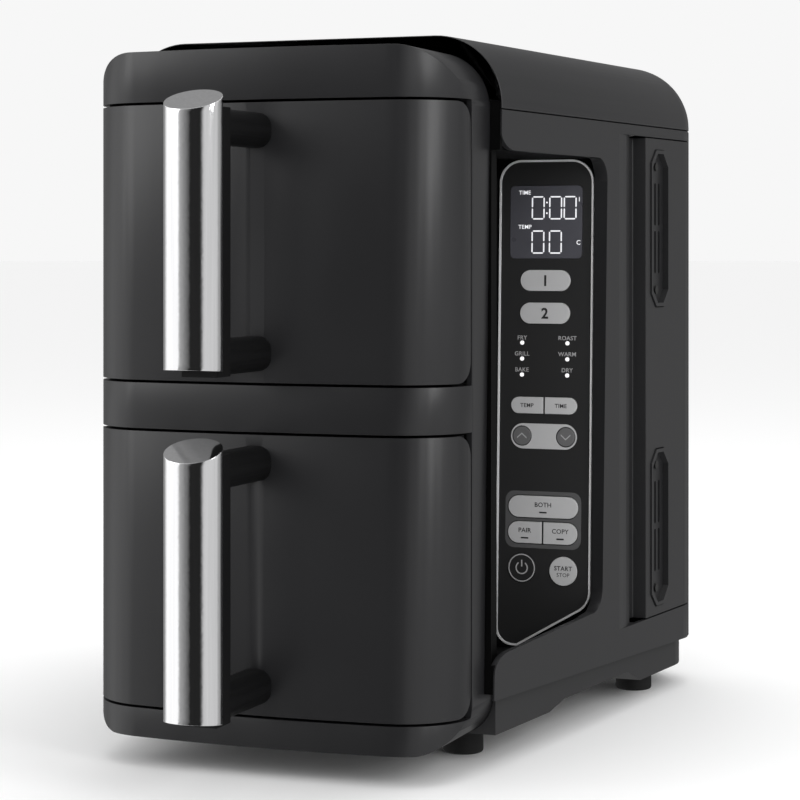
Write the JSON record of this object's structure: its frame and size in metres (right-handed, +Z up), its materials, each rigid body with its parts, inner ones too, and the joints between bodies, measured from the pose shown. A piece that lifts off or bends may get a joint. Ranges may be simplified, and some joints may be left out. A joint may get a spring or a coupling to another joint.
{
  "type": "air fryer",
  "caption": "Tall stacked air fryer: a narrow bowed tower with two pull-out drawers and bar handles, a flared black casing behind it, and a recessed control panel at the right.",
  "frame": {"origin": "on the table, under the centre of the overall box", "axes": "+Z up; drawers and handles face -Y; the control panel is on the +X side"},
  "size_m": [0.2816, 0.47, 0.385],
  "materials": {
    "satin_black": "satin charcoal moulded plastic with a fine texture",
    "rear_black": "matt charcoal moulded plastic",
    "recess_black": "matt black moulded plastic",
    "handle_black": "matt black moulded plastic",
    "polished_bar": "polished and lightly brushed along its length",
    "panel_gloss": "smooth dark grey printed overlay",
    "display_glass": "smoked display window with lit segments",
    "trim_silver": "satin silver",
    "key_grey": "silver grey, satin",
    "key_dark": "dark grey with a printed ring",
    "light_white": "lit white",
    "circuit_green": "circuit board",
    "foot_rubber": "matt rubber",
    "screw_steel": "black oxide",
    "cavity_steel": "coated sheet steel",
    "element_steel": "oxidised steel tube",
    "nonstick_coat": "dark non-stick coating",
    "fan_metal": "plain pressed metal",
    "motor_metal": "zinc plated",
    "fan_plastic": "black moulded plastic"
  },
  "bodies": {
    "root": {"base_pan": "rear_black", "control_board": "circuit_green", "control_panel": "panel_gloss", "control_pod": "recess_black", "cord_gland": "fan_plastic", "cover_screws": "screw_steel", "display_screen": "display_glass", "drawer_runners": "cavity_steel", "drawer_switches": "fan_plastic", "fan_guards": "cavity_steel", "fan_motors": "motor_metal", "front_bezel": "satin_black", "heating_elements": "element_steel", "indicator_lights": "light_white", "left_rear_trim": "rear_black", "left_side_cover": "satin_black", "lower_cavity": "cavity_steel", "motor_bulkhead": "cavity_steel", "panel_trim": "trim_silver", "power_board": "circuit_green", "rear_cover": "rear_black", "right_rear_trim": "rear_black", "right_side_cover": "satin_black", "rim_surround": "recess_black", "rubber_feet": "foot_rubber", "temperature_probes": "element_steel", "top_cover": "satin_black", "upper_cavity": "cavity_steel", "vent_grilles": "recess_black", "vent_screws": "screw_steel", "wiring_harness": "fan_plastic"},
    "upper_drawer": {"upper_drawer_front": "satin_black", "upper_front_backing": "recess_black", "upper_basket": "nonstick_coat", "upper_handle_bar": "polished_bar", "upper_handle_frame": "handle_black"},
    "upper_crisper": {"upper_crisper_plate": "nonstick_coat"},
    "upper_fan": {"upper_hot_fan": "fan_metal", "upper_cooling_fan": "fan_plastic", "upper_motor_shaft": "fan_metal"},
    "lower_drawer": {"lower_drawer_front": "satin_black", "lower_front_backing": "recess_black", "lower_basket": "nonstick_coat", "lower_handle_bar": "polished_bar", "lower_handle_frame": "handle_black"},
    "lower_crisper": {"lower_crisper_plate": "nonstick_coat"},
    "lower_fan": {"lower_hot_fan": "fan_metal", "lower_cooling_fan": "fan_plastic", "lower_motor_shaft": "fan_metal"},
    "key_zone_1": {"key_zone_1": "key_grey"},
    "key_zone_2": {"key_zone_2": "key_grey"},
    "key_temperature": {"key_temperature": "key_grey"},
    "key_time": {"key_time": "key_grey"},
    "key_up": {"key_up": "key_grey"},
    "key_down": {"key_down": "key_grey"},
    "key_stack": {"key_stack": "key_grey"},
    "key_sync": {"key_sync": "key_grey"},
    "key_match": {"key_match": "key_grey"},
    "key_power": {"key_power": "key_dark"},
    "key_start": {"key_start": "key_grey"}
  },
  "joints": [
    {"name": "upper_drawer_slide", "type": "slide", "parent": "root", "child": "upper_drawer", "axis": [0, -1, 0], "range_m": [0, 0.24]},
    {"name": "upper_crisper_lift", "type": "slide", "parent": "upper_drawer", "child": "upper_crisper", "axis": [0, 0, 1], "range_m": [0, 0.085]},
    {"name": "upper_fan_spin", "type": "hinge", "parent": "root", "child": "upper_fan", "pos_m": [-0.023, 0.147, 0.2738], "axis": [0, 1, 0], "continuous": true},
    {"name": "lower_drawer_slide", "type": "slide", "parent": "root", "child": "lower_drawer", "axis": [0, -1, 0], "range_m": [0, 0.24]},
    {"name": "lower_crisper_lift", "type": "slide", "parent": "lower_drawer", "child": "lower_crisper", "axis": [0, 0, 1], "range_m": [0, 0.085]},
    {"name": "lower_fan_spin", "type": "hinge", "parent": "root", "child": "lower_fan", "pos_m": [-0.023, 0.147, 0.103], "axis": [0, 1, 0], "continuous": true},
    {"name": "key_zone_1_press", "type": "slide", "parent": "root", "child": "key_zone_1", "axis": [0, 0.9995, -0.0314], "range_m": [0, 0.0005], "stiffness_N_per_m": 600},
    {"name": "key_zone_2_press", "type": "slide", "parent": "root", "child": "key_zone_2", "axis": [0, 0.9995, -0.0314], "range_m": [0, 0.0005], "stiffness_N_per_m": 600},
    {"name": "key_temperature_press", "type": "slide", "parent": "root", "child": "key_temperature", "axis": [0, 0.9995, -0.0314], "range_m": [0, 0.0005], "stiffness_N_per_m": 600},
    {"name": "key_time_press", "type": "slide", "parent": "root", "child": "key_time", "axis": [0, 0.9995, -0.0314], "range_m": [0, 0.0005], "stiffness_N_per_m": 600},
    {"name": "key_up_press", "type": "slide", "parent": "root", "child": "key_up", "axis": [0, 0.9995, -0.0314], "range_m": [0, 0.0005], "stiffness_N_per_m": 600},
    {"name": "key_down_press", "type": "slide", "parent": "root", "child": "key_down", "axis": [0, 0.9995, -0.0314], "range_m": [0, 0.0005], "stiffness_N_per_m": 600},
    {"name": "key_stack_press", "type": "slide", "parent": "root", "child": "key_stack", "axis": [0, 0.9995, -0.0314], "range_m": [0, 0.0005], "stiffness_N_per_m": 600},
    {"name": "key_sync_press", "type": "slide", "parent": "root", "child": "key_sync", "axis": [0, 0.9995, -0.0314], "range_m": [0, 0.0005], "stiffness_N_per_m": 600},
    {"name": "key_match_press", "type": "slide", "parent": "root", "child": "key_match", "axis": [0, 0.9995, -0.0314], "range_m": [0, 0.0005], "stiffness_N_per_m": 600},
    {"name": "key_power_press", "type": "slide", "parent": "root", "child": "key_power", "axis": [0, 0.9995, -0.0314], "range_m": [0, 0.0005], "stiffness_N_per_m": 600},
    {"name": "key_start_press", "type": "slide", "parent": "root", "child": "key_start", "axis": [0, 0.9995, -0.0314], "range_m": [0, 0.0005], "stiffness_N_per_m": 600}
  ]
}
